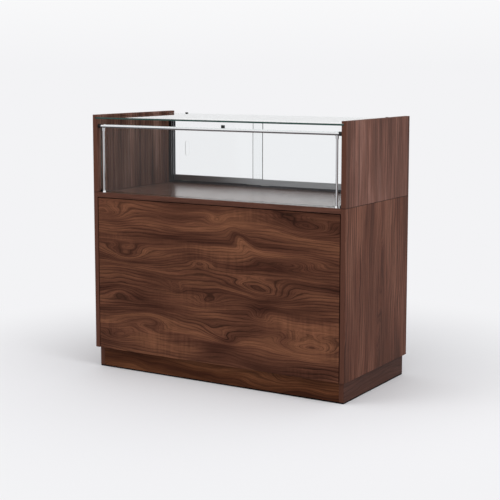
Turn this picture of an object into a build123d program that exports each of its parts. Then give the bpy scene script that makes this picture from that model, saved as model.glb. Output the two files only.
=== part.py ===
from build123d import *
import os

os.makedirs("parts", exist_ok=True)

# A shop counter: a closed walnut base with a glass display case standing on it.
# Millimetres. X runs to the right, Y from the customer to the staff side, Z up.
# The origin is on the floor, in the middle of everything the counter covers.

# Driving sizes of the carcass
width = 1050.0
depth = 500.0
height = 950.0
board = 18.0
foot_gap = 5.0
plinth_height = 70.0
deck_height = 663.0
edge_ease = 0.6
shadow_gap = 3.0
plinth_front_inset = 16.0
plinth_side_inset = 9.5
plinth_back_inset = 11.0

# Feet under the plinth
corner_block = 45.0
corner_block_height = 50.0
foot_pad_radius = 16.0
foot_pad_height = 8.0
foot_pad_taper = 25.0
foot_stem_radius = 4.0
foot_stem_grip = 32.0
foot_stem_end_gap = 1.0
foot_nut_width = 13.0
foot_nut_height = 5.0
thread_fit = 0.1

# Wooden dowels that join the boards
dowel_radius = 4.0
dowel_length = 30.0
dowel_in_side = 11.0
dowel_fit = 0.1
dowel_end_inset = 70.0

# Inside of the base
stop_rail_height = 60.0
shelf_lift = 257.0
shelf_side_gap = 1.5
shelf_front_gap = 22.0
shelf_back_gap = 30.0
shelf_pin_radius = 2.5
shelf_pin_grip = 10.0
shelf_pin_reach = 9.0
shelf_pin_inset = 50.0
pin_fit = 0.1
panel_block = 20.0
panel_block_end_gap = 90.0

# Staff side doors of the base
door_gap = 3.0
door_seat = 0.5
hinge_height = 60.0
hinge_end_inset = 70.0
hinge_leaf = 1.2
hinge_leaf_width = 20.0
hinge_knuckle_radius = 3.0
hinge_knuckle_clear = 0.3
hinge_door_knuckle = 24.0
hinge_pin_radius = 1.5
hinge_pin_fit = 0.05
hinge_head_radius = 2.6
hinge_head_height = 1.0
handle_radius = 5.0
handle_length = 128.0
handle_reach = 28.0
handle_bend = 10.0
handle_from_edge = 60.0
handle_drop = 165.0
catch_length = 45.0
catch_size = 15.0
catch_from_middle = 150.0
catch_plate = 1.0
catch_plate_rim = 3.0
catch_plate_corner = 2.0
catch_plate_gap = 0.5
lock_from_edge = 35.0
lock_drop = 15.0
lock_barrel_radius = 8.0
lock_flange_radius = 11.0
lock_flange = 1.5
lock_plug_radius = 5.5
lock_plug_fit = 0.05
lock_hole_fit = 0.1
lock_cam_length = 28.0
lock_cam_width = 13.0
lock_cam = 3.0
lock_cam_clear = 1.0
key_slot_width = 1.4
key_slot_length = 7.0
key_slot_depth = 6.0

# Glass top in its grooves
top_glass = 6.0
top_glass_drop = 9.0
top_groove_depth = 8.0
top_groove_fit = 0.5
top_end_gap = 1.0

# Front pane and the steel rail that guards it
pane_glass = 5.0
pane_setback = 20.5
pane_above_rail = 4.0
rail_drop = 27.0
rail_setback = 12.5
rail_radius = 6.0
rail_wall = 1.2
rail_end_gap = 1.5
post_radius = 4.0
post_wall = 1.0
post_inset = 22.0
tee_length = 14.0
tee_wall = 1.3
tee_socket_drop = 17.0
tube_fit = 0.05
foot_flange_radius = 6.5
foot_flange_height = 6.0
foot_flange_taper = 16.0
clip_wall = 2.0
clip_floor = 1.5
clip_reach = 13.0
clip_height = 8.0
clip_fit = 0.2
cup_length = 13.0
cup_wall = 1.2
card_clip_place = 33.0
card_clip_width = 11.0
card_clip_leg = 1.2
card_clip_grip = 8.0
card_clip_height = 12.0
card_clip_notch_width = 3.5
card_clip_notch_depth = 6.0

# Sliding glass doors at the back of the display case
door_glass = 5.0
door_pitch = 15.0
track_margin = 7.5
track_inset = 8.0
track_height = 8.0
track_floor = 2.0
track_slot = 12.8
guide_height = 18.0
guide_slot = 6.4
guide_slot_depth = 14.0
channel_depth = 12.0
channel_wall = 2.0
glass_in_guide = 10.0
glass_end_gap = 1.5
meeting_place = -98.0
meeting_overlap = 36.0
door_rail_width = 12.0
door_rail_height = 22.0
door_rail_web = 3.0
door_rail_lift = 1.0
door_rail_end_gap = 1.0
rail_glass_fit = 0.1
glide_width = 11.6
glide_length = 30.0
glide_inset = 40.0
glide_clear = 0.3
finger_groove_length = 60.0
finger_groove_width = 18.0
finger_groove_depth = 2.0
finger_groove_inset = 70.0
glass_clip_place = 440.0
glass_clip_width = 9.0
glass_clip_plate = 2.0
glass_clip_hook = 5.0
glass_clip_rise = 3.5
glass_clip_gap = 0.3

# Places worked out from the sizes above
front = -(depth + handle_reach) / 2
back = front + depth
outer_half = width / 2
inner_half = outer_half - board
carcass_bottom = foot_gap + plinth_height
floor_top = carcass_bottom + board
deck_bottom = deck_height - board
panel_back = front + board
door_inside = back - board
seat_back = door_inside - door_seat
stop_rail_front = seat_back - board
stop_rail_bottom = deck_bottom - stop_rail_height
dowel_ys = (front + dowel_end_inset, back - dowel_end_inset)
dowel_in_board = dowel_length - dowel_in_side
side_dowel_places = [(y, z) for z in (floor_top - board / 2, deck_height - board / 2) for y in dowel_ys]
side_dowel_places.append((stop_rail_front + board / 2, stop_rail_bottom + stop_rail_height / 2))
side_middle = outer_half - board / 2

shelf_bottom = floor_top + shelf_lift
shelf_front = panel_back + shelf_front_gap
shelf_back = stop_rail_front - shelf_back_gap
shelf_pin_ys = (shelf_front + shelf_pin_inset, shelf_back - shelf_pin_inset)
shelf_pin_z = shelf_bottom - shelf_pin_radius
panel_block_zs = (floor_top + panel_block_end_gap, deck_bottom - panel_block_end_gap)

door_bottom = carcass_bottom + door_gap
door_top = deck_bottom - door_gap
door_outer_edge = inner_half - door_gap
door_inner_edge = door_gap / 2
hinge_x = inner_half - door_gap / 2
hinge_y = back + hinge_knuckle_radius + hinge_knuckle_clear
hinge_bottoms = (door_bottom + hinge_end_inset, door_top - hinge_end_inset - hinge_height)
lock_x = door_inner_edge + lock_from_edge
lock_z = stop_rail_bottom - lock_drop
lock_cam_back = stop_rail_front - lock_cam_clear
catch_top = stop_rail_bottom
handle_z = door_top - handle_drop

top_glass_face = height - top_glass_drop
top_glass_under = top_glass_face - top_glass
top_glass_half = inner_half + top_groove_depth - top_end_gap
track_back = back - track_inset
outer_door_y = track_back - track_margin
inner_door_y = outer_door_y - door_pitch
track_width = 2 * track_margin + door_pitch
track_front = track_back - track_width
track_top = deck_height + track_height
guide_bottom = top_glass_under - guide_height
channel_face = inner_half - channel_depth

rail_z = top_glass_under - rail_drop
rail_y = front + rail_setback
rail_half = inner_half - rail_end_gap
post_x = inner_half - post_inset
tee_radius = rail_radius + tube_fit + tee_wall
socket_radius = post_radius + tube_fit + tee_wall
post_top = rail_z - tee_radius
pane_front = front + pane_setback
pane_back = pane_front + pane_glass
pane_half = inner_half - clip_wall
pane_bottom = deck_height + clip_floor
pane_top = rail_z + pane_above_rail


def rect_between(x_low, x_high, y_low, y_high, mode=Mode.ADD):
    """Draws a rectangle in the open sketch, given by its four edges."""
    with Locations(((x_low + x_high) / 2, (y_low + y_high) / 2)):
        Rectangle(x_high - x_low, y_high - y_low, mode=mode)


# Plinth: two side boards run the whole depth, front and back boards stand between them
plinth_outer = outer_half - plinth_side_inset
plinth_inner = plinth_outer - board
plinth_front_y = front + plinth_front_inset
plinth_back_y = back - plinth_back_inset
for side, sign in (("left", -1), ("right", 1)):
    with BuildPart() as plinth_side:
        with BuildSketch(Plane.XY.offset(foot_gap)):
            low, high = sorted((sign * plinth_inner, sign * plinth_outer))
            rect_between(low, high, plinth_front_y, plinth_back_y)
        extrude(amount=plinth_height)
        chamfer(plinth_side.edges(), edge_ease)
    plinth_side.part.label = f"plinth_side_{side}"
    export_step(plinth_side.part, f"parts/plinth_side_{side}.step")

for end, start_y in (("front", plinth_front_y), ("back", plinth_back_y - board)):
    with BuildPart() as plinth_board:
        with BuildSketch(Plane.XY.offset(foot_gap)):
            rect_between(-plinth_inner, plinth_inner, start_y, start_y + board)
        extrude(amount=plinth_height)
        chamfer(plinth_board.edges(), edge_ease)
    plinth_board.part.label = f"plinth_{end}"
    export_step(plinth_board.part, f"parts/plinth_{end}.step")

# Blocks in the plinth's corners, each drilled from below for a foot's stem
foot_x = plinth_inner - corner_block / 2
foot_places = [
    (x, y)
    for x in (-foot_x, foot_x)
    for y in (plinth_front_y + board + corner_block / 2, plinth_back_y - board - corner_block / 2)
]
block_bottom = carcass_bottom - corner_block_height
with BuildPart() as plinth_corner_blocks:
    with BuildSketch(Plane.XY.offset(block_bottom)):
        with Locations(*foot_places):
            Rectangle(corner_block, corner_block)
    extrude(amount=corner_block_height)
    with BuildSketch(Plane.XY.offset(block_bottom)):
        with Locations(*foot_places):
            Circle(foot_stem_radius + thread_fit)
    extrude(amount=foot_stem_grip + foot_stem_end_gap, mode=Mode.SUBTRACT)
plinth_corner_blocks.part.label = "plinth_corner_blocks"
export_step(plinth_corner_blocks.part, "parts/plinth_corner_blocks.step")

# Levelling feet: plastic pads on threaded stems with a hexagon to turn
with BuildPart() as foot_pads:
    with BuildSketch():
        with Locations(*foot_places):
            Circle(foot_pad_radius)
    extrude(amount=foot_pad_height, taper=foot_pad_taper)
foot_pads.part.label = "foot_pads"
export_step(foot_pads.part, "parts/foot_pads.step")

with BuildPart() as foot_stems:
    with BuildSketch(Plane.XY.offset(foot_pad_height)):
        with Locations(*foot_places):
            Circle(foot_stem_radius)
    extrude(amount=block_bottom + foot_stem_grip - foot_pad_height)
    with BuildSketch(Plane.XY.offset(foot_pad_height)):
        with Locations(*foot_places):
            RegularPolygon(foot_nut_width / 2, 6, major_radius=False)
    extrude(amount=foot_nut_height)
foot_stems.part.label = "foot_stems"
export_step(foot_stems.part, "parts/foot_stems.step")

# Side boards of the base, with dowel holes inside, on top, and holes for the shelf pins
for side, sign in (("left", -1), ("right", 1)):
    inner_face = Plane.YZ.offset(sign * inner_half)
    with BuildPart() as base_side:
        with BuildSketch(Plane.XY.offset(carcass_bottom)):
            low, high = sorted((sign * inner_half, sign * outer_half))
            rect_between(low, high, front, back)
        extrude(amount=deck_height - carcass_bottom)
        chamfer(base_side.edges(), edge_ease)
        with BuildSketch(inner_face):
            with Locations(*side_dowel_places):
                Circle(dowel_radius + dowel_fit)
        extrude(amount=sign * (dowel_in_side + dowel_fit), mode=Mode.SUBTRACT)
        with BuildSketch(inner_face):
            with Locations(*[(y, shelf_pin_z) for y in shelf_pin_ys]):
                Circle(shelf_pin_radius + pin_fit)
        extrude(amount=sign * (shelf_pin_grip + pin_fit), mode=Mode.SUBTRACT)
        with BuildSketch(Plane.XY.offset(deck_height)):
            with Locations(*[(sign * side_middle, y) for y in dowel_ys]):
                Circle(dowel_radius + dowel_fit)
        extrude(amount=-(dowel_length / 2 + dowel_fit), mode=Mode.SUBTRACT)
    base_side.part.label = f"base_side_{side}"
    export_step(base_side.part, f"parts/base_side_{side}.step")


def drill_board_ends(places):
    """Blind dowel holes in both ends of the open board that lies between the sides."""
    for sign in (-1, 1):
        for place in places:
            with Locations(Location((sign * inner_half, *place), (0, -90 * sign, 0))):
                Cylinder(
                    dowel_radius + dowel_fit,
                    dowel_in_board + dowel_fit,
                    align=(Align.CENTER, Align.CENTER, Align.MIN),
                    mode=Mode.SUBTRACT,
                )


# Floor board of the base, behind the front panel and up to the doors
with BuildPart() as base_floor:
    with BuildSketch(Plane.XY.offset(carcass_bottom)):
        rect_between(-inner_half, inner_half, panel_back, seat_back)
    extrude(amount=board)
    drill_board_ends(side_dowel_places[:2])
base_floor.part.label = "base_floor"
export_step(base_floor.part, "parts/base_floor.step")

# Deck board, the floor of the display case, its front edge shows as a band
with BuildPart() as deck:
    with BuildSketch(Plane.XY.offset(deck_bottom)):
        rect_between(-inner_half, inner_half, front, back)
    extrude(amount=board)
    chamfer(deck.edges().filter_by(Axis.X), edge_ease)
    drill_board_ends(side_dowel_places[2:4])
deck.part.label = "deck"
export_step(deck.part, "parts/deck.step")

# Stop rail under the back of the deck, which the doors close against
with BuildPart() as stop_rail:
    with BuildSketch(Plane.XY.offset(stop_rail_bottom)):
        rect_between(-inner_half, inner_half, stop_rail_front, seat_back)
    extrude(amount=stop_rail_height)
    drill_board_ends(side_dowel_places[4:])
stop_rail.part.label = "stop_rail"
export_step(stop_rail.part, "parts/stop_rail.step")

# Front panel, set between the sides with a narrow dark gap on three edges
panel_half = inner_half - shadow_gap
with BuildPart() as front_panel:
    with BuildSketch(Plane.XY.offset(carcass_bottom)):
        rect_between(-panel_half, panel_half, front, panel_back)
    extrude(amount=deck_bottom - shadow_gap - carcass_bottom)
    chamfer(front_panel.edges(), edge_ease)
front_panel.part.label = "front_panel"
export_step(front_panel.part, "parts/front_panel.step")

# Plastic blocks in the corners between the front panel and the sides
with BuildPart() as panel_blocks:
    for block_z in panel_block_zs:
        with BuildSketch(Plane.XY.offset(block_z - panel_block / 2)):
            for sign in (-1, 1):
                low, high = sorted((sign * (inner_half - panel_block), sign * inner_half))
                rect_between(low, high, panel_back, panel_back + panel_block)
        extrude(amount=panel_block)
panel_blocks.part.label = "panel_blocks"
export_step(panel_blocks.part, "parts/panel_blocks.step")

# Dowels: flat ones into floor, deck and stop rail, upright ones under the display sides
with BuildPart() as dowels:
    for sign in (-1, 1):
        with BuildSketch(Plane.YZ.offset(sign * (inner_half - dowel_in_board))):
            with Locations(*side_dowel_places):
                Circle(dowel_radius)
        extrude(amount=sign * dowel_length)
    with BuildSketch(Plane.XY.offset(deck_height - dowel_length / 2)):
        with Locations(*[(sign * side_middle, y) for sign in (-1, 1) for y in dowel_ys]):
            Circle(dowel_radius)
    extrude(amount=dowel_length)
dowels.part.label = "dowels"
export_step(dowels.part, "parts/dowels.step")

# Loose shelf in the base on four pins
with BuildPart() as base_shelf:
    with BuildSketch(Plane.XY.offset(shelf_bottom)):
        shelf_half = inner_half - shelf_side_gap
        rect_between(-shelf_half, shelf_half, shelf_front, shelf_back)
    extrude(amount=board)
    chamfer(base_shelf.edges().filter_by(Axis.X), edge_ease)
base_shelf.part.label = "base_shelf"
export_step(base_shelf.part, "parts/base_shelf.step")

with BuildPart() as shelf_pins:
    for sign in (-1, 1):
        with BuildSketch(Plane.YZ.offset(sign * (inner_half - shelf_pin_reach))):
            with Locations(*[(y, shelf_pin_z) for y in shelf_pin_ys]):
                Circle(shelf_pin_radius)
        extrude(amount=sign * (shelf_pin_reach + shelf_pin_grip))
shelf_pins.part.label = "shelf_pins"
export_step(shelf_pins.part, "parts/shelf_pins.step")

# Staff side doors, with the bore for the lock in the right one
for side, sign in (("left", -1), ("right", 1)):
    with BuildPart() as base_door:
        with BuildSketch(Plane.XY.offset(door_bottom)):
            low, high = sorted((sign * door_inner_edge, sign * door_outer_edge))
            rect_between(low, high, door_inside, back)
        extrude(amount=door_top - door_bottom)
        chamfer(base_door.edges(), edge_ease)
        if side == "right":
            with BuildSketch(Plane.XZ.offset(-back)):
                with Locations((lock_x, lock_z)):
                    Circle(lock_barrel_radius + lock_hole_fit)
            extrude(amount=board, mode=Mode.SUBTRACT)
    base_door.part.label = f"base_door_{side}"
    export_step(base_door.part, f"parts/base_door_{side}.step")

# Butt hinges: frame leaves with an upper and a lower knuckle, door leaves with the middle one
knuckle_low = (hinge_height - hinge_door_knuckle) / 2 - hinge_knuckle_clear
with BuildPart() as hinge_frame_leaves:
    for sign in (-1, 1):
        low, high = sorted((sign * (inner_half - hinge_leaf), sign * inner_half))
        for hinge_z in hinge_bottoms:
            with BuildSketch(Plane.XY.offset(hinge_z)):
                rect_between(low, high, back - hinge_leaf_width, back)
            extrude(amount=hinge_height)
            for knuckle_z in (hinge_z, hinge_z + hinge_height - knuckle_low):
                with BuildSketch(Plane.XY.offset(knuckle_z)):
                    with Locations((sign * hinge_x, hinge_y)):
                        Circle(hinge_knuckle_radius)
                    rect_between(low, high, back - hinge_leaf_width, hinge_y)
                    with Locations((sign * hinge_x, hinge_y)):
                        Circle(hinge_pin_radius + hinge_pin_fit, mode=Mode.SUBTRACT)
                extrude(amount=knuckle_low)
hinge_frame_leaves.part.label = "hinge_frame_leaves"
export_step(hinge_frame_leaves.part, "parts/hinge_frame_leaves.step")

for side, sign in (("left", -1), ("right", 1)):
    with BuildPart() as hinge_door_leaves:
        low, high = sorted((sign * door_outer_edge, sign * (door_outer_edge + hinge_leaf)))
        for hinge_z in hinge_bottoms:
            with BuildSketch(Plane.XY.offset(hinge_z)):
                rect_between(low, high, back - hinge_leaf_width, back)
            extrude(amount=hinge_height)
            with BuildSketch(Plane.XY.offset(hinge_z + (hinge_height - hinge_door_knuckle) / 2)):
                with Locations((sign * hinge_x, hinge_y)):
                    Circle(hinge_knuckle_radius)
                rect_between(low, high, back - hinge_leaf_width, hinge_y)
                with Locations((sign * hinge_x, hinge_y)):
                    Circle(hinge_pin_radius + hinge_pin_fit, mode=Mode.SUBTRACT)
            extrude(amount=hinge_door_knuckle)
    hinge_door_leaves.part.label = f"hinge_door_leaves_{side}"
    export_step(hinge_door_leaves.part, f"parts/hinge_door_leaves_{side}.step")

hinge_places = [(sign * hinge_x, hinge_y) for sign in (-1, 1)]
with BuildPart() as hinge_pins:
    for hinge_z in hinge_bottoms:
        with BuildSketch(Plane.XY.offset(hinge_z)):
            with Locations(*hinge_places):
                Circle(hinge_pin_radius)
        extrude(amount=hinge_height)
        for head_z in (hinge_z - hinge_head_height, hinge_z + hinge_height):
            with BuildSketch(Plane.XY.offset(head_z)):
                with Locations(*hinge_places):
                    Circle(hinge_head_radius)
            extrude(amount=hinge_head_height)
hinge_pins.part.label = "hinge_pins"
export_step(hinge_pins.part, "parts/hinge_pins.step")

# Bow handles, one round bar bent into two legs and a grip
for side, sign in (("left", -1), ("right", 1)):
    handle_x = sign * (door_inner_edge + handle_from_edge)
    bar_y = back + handle_reach - handle_radius
    low_z = handle_z - handle_length / 2
    high_z = handle_z + handle_length / 2
    with BuildPart() as door_handle:
        with BuildLine():
            FilletPolyline(
                (handle_x, back, low_z),
                (handle_x, bar_y, low_z),
                (handle_x, bar_y, high_z),
                (handle_x, back, high_z),
                radius=handle_bend,
            )
        with BuildSketch(Plane.XZ.offset(-back)):
            with Locations((handle_x, low_z)):
                Circle(handle_radius)
        sweep()
    door_handle.part.label = f"door_handle_{side}"
    export_step(door_handle.part, f"parts/door_handle_{side}.step")

# Magnetic catches under the stop rail, with steel plates on the doors
with BuildPart() as catch_magnets:
    catch_back = door_inside - catch_plate - catch_plate_gap
    with BuildSketch(Plane.XY.offset(catch_top - catch_size)):
        for sign in (-1, 1):
            low = sign * catch_from_middle - catch_length / 2
            rect_between(low, low + catch_length, catch_back - catch_size, catch_back)
    extrude(amount=catch_size)
catch_magnets.part.label = "catch_magnets"
export_step(catch_magnets.part, "parts/catch_magnets.step")

for side, sign in (("left", -1), ("right", 1)):
    plate_length = catch_length - 2 * catch_plate_rim
    with BuildPart() as strike_plate:
        with BuildSketch(Plane.XZ.offset(-door_inside)):
            with Locations((sign * catch_from_middle, catch_top - catch_size / 2)):
                RectangleRounded(plate_length, catch_size - catch_plate_rim, catch_plate_corner)
        extrude(amount=catch_plate)
    strike_plate.part.label = f"strike_plate_{side}"
    export_step(strike_plate.part, f"parts/strike_plate_{side}.step")

# Cam lock of the right door: barrel with its flange, turning plug with the key slot, cam
lock_length = back - lock_cam_back
with BuildPart() as lock_barrel:
    with BuildSketch(Plane.XZ.offset(-back)):
        with Locations((lock_x, lock_z)):
            Circle(lock_barrel_radius)
            Circle(lock_plug_radius + lock_plug_fit, mode=Mode.SUBTRACT)
    extrude(amount=lock_length - lock_plug_fit)
    with BuildSketch(Plane.XZ.offset(-back)):
        with Locations((lock_x, lock_z)):
            Circle(lock_flange_radius)
            Circle(lock_plug_radius + lock_plug_fit, mode=Mode.SUBTRACT)
    extrude(amount=-lock_flange)
lock_barrel.part.label = "lock_barrel"
export_step(lock_barrel.part, "parts/lock_barrel.step")

with BuildPart() as lock_plug:
    with BuildSketch(Plane.XZ.offset(-(back + lock_flange))):
        with Locations((lock_x, lock_z)):
            Circle(lock_plug_radius)
    extrude(amount=lock_length + lock_flange)
    with BuildSketch(Plane.XZ.offset(-(back + lock_flange))):
        with Locations((lock_x, lock_z)):
            Rectangle(key_slot_width, key_slot_length)
    extrude(amount=key_slot_depth, mode=Mode.SUBTRACT)
lock_plug.part.label = "lock_plug"
export_step(lock_plug.part, "parts/lock_plug.step")

with BuildPart() as lock_cam_plate:
    with BuildSketch(Plane.XZ.offset(-lock_cam_back)):
        with Locations((lock_x + (lock_cam_length - lock_cam_width / 2) / 2, lock_z)):
            SlotOverall(lock_cam_length + lock_cam_width / 2, lock_cam_width)
    extrude(amount=lock_cam)
lock_cam_plate.part.label = "lock_cam"
export_step(lock_cam_plate.part, "parts/lock_cam.step")

# Side boards of the display case, with the groove that carries the glass top
for side, sign in (("left", -1), ("right", 1)):
    with BuildPart() as display_side:
        with BuildSketch(Plane.XY.offset(deck_height)):
            low, high = sorted((sign * inner_half, sign * outer_half))
            rect_between(low, high, front, back)
        extrude(amount=height - deck_height)
        chamfer(display_side.edges(), edge_ease)
        with BuildSketch(Plane.XZ.offset(-back)):
            low, high = sorted((sign * inner_half, sign * (inner_half + top_groove_depth)))
            rect_between(low, high, top_glass_under, top_glass_face + top_groove_fit)
        extrude(amount=depth, mode=Mode.SUBTRACT)
        with BuildSketch(Plane.XY.offset(deck_height)):
            with Locations(*[(sign * side_middle, y) for y in dowel_ys]):
                Circle(dowel_radius + dowel_fit)
        extrude(amount=dowel_length / 2 + dowel_fit, mode=Mode.SUBTRACT)
    display_side.part.label = f"display_side_{side}"
    export_step(display_side.part, f"parts/display_side_{side}.step")

# Glass top, pushed into the grooves from the staff side
with BuildPart() as glass_top:
    with BuildSketch(Plane.XY.offset(top_glass_under)):
        rect_between(-top_glass_half, top_glass_half, front, track_back)
    extrude(amount=top_glass)
    chamfer(glass_top.edges(), edge_ease)
glass_top.part.label = "glass_top"
export_step(glass_top.part, "parts/glass_top.step")

# Front pane behind the guard rail
with BuildPart() as front_pane:
    with BuildSketch(Plane.XZ.offset(-pane_back)):
        rect_between(-pane_half, pane_half, pane_bottom, pane_top)
    extrude(amount=pane_glass)
    chamfer(front_pane.edges(), edge_ease)
front_pane.part.label = "front_pane"
export_step(front_pane.part, "parts/front_pane.step")

# Guard rail: a steel tube from side to side
with BuildPart() as guard_rail:
    with BuildSketch(Plane.YZ.offset(-rail_half)):
        with Locations((rail_y, rail_z)):
            Circle(rail_radius)
            Circle(rail_radius - rail_wall, mode=Mode.SUBTRACT)
    extrude(amount=2 * rail_half)
guard_rail.part.label = "guard_rail"
export_step(guard_rail.part, "parts/guard_rail.step")

# At each end a tee, a post under it, the post's foot, a wall cup and a clip for the pane
for side, sign in (("left", -1), ("right", 1)):
    with BuildPart() as rail_tee:
        with BuildSketch(Plane.YZ.offset(sign * post_x - tee_length / 2)):
            with Locations((rail_y, rail_z)):
                Circle(tee_radius)
        extrude(amount=tee_length)
        with BuildSketch(Plane.XY.offset(rail_z - tee_socket_drop)):
            with Locations((sign * post_x, rail_y)):
                Circle(socket_radius)
        extrude(amount=tee_socket_drop)
        with BuildSketch(Plane.YZ.offset(sign * post_x - tee_length / 2)):
            with Locations((rail_y, rail_z)):
                Circle(rail_radius + tube_fit)
        extrude(amount=tee_length, mode=Mode.SUBTRACT)
        with BuildSketch(Plane.XY.offset(rail_z - tee_socket_drop)):
            with Locations((sign * post_x, rail_y)):
                Circle(post_radius + tube_fit)
        extrude(amount=post_top - (rail_z - tee_socket_drop), mode=Mode.SUBTRACT)
    rail_tee.part.label = f"rail_tee_{side}"
    export_step(rail_tee.part, f"parts/rail_tee_{side}.step")

    with BuildPart() as rail_post:
        with BuildSketch(Plane.XY.offset(deck_height)):
            with Locations((sign * post_x, rail_y)):
                Circle(post_radius)
                Circle(post_radius - post_wall, mode=Mode.SUBTRACT)
        extrude(amount=post_top - deck_height)
    rail_post.part.label = f"rail_post_{side}"
    export_step(rail_post.part, f"parts/rail_post_{side}.step")

    with BuildPart() as post_foot:
        with BuildSketch(Plane.XY.offset(deck_height)):
            with Locations((sign * post_x, rail_y)):
                Circle(foot_flange_radius)
        extrude(amount=foot_flange_height, taper=foot_flange_taper)
        with BuildSketch(Plane.XY.offset(deck_height)):
            with Locations((sign * post_x, rail_y)):
                Circle(post_radius + tube_fit)
        extrude(amount=foot_flange_height, mode=Mode.SUBTRACT)
    post_foot.part.label = f"post_foot_{side}"
    export_step(post_foot.part, f"parts/post_foot_{side}.step")

    cup_radius = rail_radius + tube_fit + cup_wall
    slot_front = pane_front - clip_fit
    slot_back = pane_back + clip_fit
    with BuildPart() as rail_cup:
        with BuildSketch(Plane.YZ.offset(sign * inner_half)):
            with Locations((rail_y, rail_z)):
                Circle(cup_radius)
            rect_between(rail_y, slot_back + clip_wall, rail_z - cup_radius, pane_top + clip_floor)
        extrude(amount=-sign * cup_length)
        with BuildSketch(Plane.YZ.offset(sign * rail_half)):
            with Locations((rail_y, rail_z)):
                Circle(rail_radius + tube_fit)
        extrude(amount=-sign * cup_length, mode=Mode.SUBTRACT)
        with BuildSketch(Plane.YZ.offset(sign * pane_half)):
            rect_between(slot_front, slot_back, rail_z - cup_radius, pane_top + clip_fit)
        extrude(amount=-sign * cup_length, mode=Mode.SUBTRACT)
    rail_cup.part.label = f"rail_cup_{side}"
    export_step(rail_cup.part, f"parts/rail_cup_{side}.step")

    clip_top = deck_height + clip_height
    with BuildPart() as pane_clip:
        with BuildSketch(Plane.YZ.offset(sign * inner_half)):
            rect_between(slot_front - clip_wall, slot_back + clip_wall, deck_height, clip_top)
        extrude(amount=-sign * clip_reach)
        with BuildSketch(Plane.YZ.offset(sign * pane_half)):
            rect_between(slot_front, slot_back, pane_bottom, clip_top)
        extrude(amount=-sign * clip_reach, mode=Mode.SUBTRACT)
    pane_clip.part.label = f"pane_clip_{side}"
    export_step(pane_clip.part, f"parts/pane_clip_{side}.step")

# Black spring clip on the pane's top edge, with two ears that hold a price card
card_clip_front = pane_front - clip_fit - card_clip_leg
card_clip_back = pane_back + clip_fit + card_clip_leg
with BuildPart() as card_clip:
    with BuildSketch(Plane.XZ.offset(-card_clip_back)):
        low = card_clip_place - card_clip_width / 2
        rect_between(low, low + card_clip_width, pane_top - card_clip_grip, pane_top + card_clip_height)
        ear_gap_bottom = pane_top + card_clip_height - card_clip_notch_depth
        with Locations((card_clip_place, ear_gap_bottom + card_clip_notch_depth / 2)):
            Rectangle(card_clip_notch_width, card_clip_notch_depth, mode=Mode.SUBTRACT)
    extrude(amount=card_clip_back - card_clip_front)
    with BuildSketch(Plane.XZ.offset(-(pane_back + clip_fit))):
        rect_between(low, low + card_clip_width, pane_top - card_clip_grip, pane_top)
    extrude(amount=pane_glass + 2 * clip_fit, mode=Mode.SUBTRACT)
card_clip.part.label = "card_clip"
export_step(card_clip.part, "parts/card_clip.step")

# Double bottom track on the deck, open upwards
door_planes = (inner_door_y, outer_door_y)
with BuildPart() as track_bottom:
    with BuildSketch(Plane.YZ.offset(-inner_half)):
        rect_between(track_front, track_back, deck_height, track_top)
        for plane_y in door_planes:
            half_slot = track_slot / 2
            slot_floor = deck_height + track_floor
            rect_between(plane_y - half_slot, plane_y + half_slot, slot_floor, track_top, Mode.SUBTRACT)
    extrude(amount=2 * inner_half)
track_bottom.part.label = "track_bottom"
export_step(track_bottom.part, "parts/track_bottom.step")

# Double top guide under the glass top, open downwards
with BuildPart() as track_top_guide:
    with BuildSketch(Plane.YZ.offset(-inner_half)):
        rect_between(track_front, track_back, guide_bottom, top_glass_under)
        for plane_y in door_planes:
            half_slot = guide_slot / 2
            slot_roof = guide_bottom + guide_slot_depth
            rect_between(plane_y - half_slot, plane_y + half_slot, guide_bottom, slot_roof, Mode.SUBTRACT)
    extrude(amount=2 * inner_half)
track_top_guide.part.label = "track_top"
export_step(track_top_guide.part, "parts/track_top.step")

# Upright channels on the side boards, which take the outer edges of the doors
for side, sign in (("left", -1), ("right", 1)):
    with BuildPart() as side_channel:
        with BuildSketch(Plane.XY.offset(track_top)):
            low, high = sorted((sign * channel_face, sign * inner_half))
            rect_between(low, high, track_front, track_back)
            low, high = sorted((sign * channel_face, sign * (inner_half - channel_wall)))
            for plane_y in door_planes:
                rect_between(low, high, plane_y - guide_slot / 2, plane_y + guide_slot / 2, Mode.SUBTRACT)
        extrude(amount=guide_bottom - track_top)
    side_channel.part.label = f"side_channel_{side}"
    export_step(side_channel.part, f"parts/side_channel_{side}.step")

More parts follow.
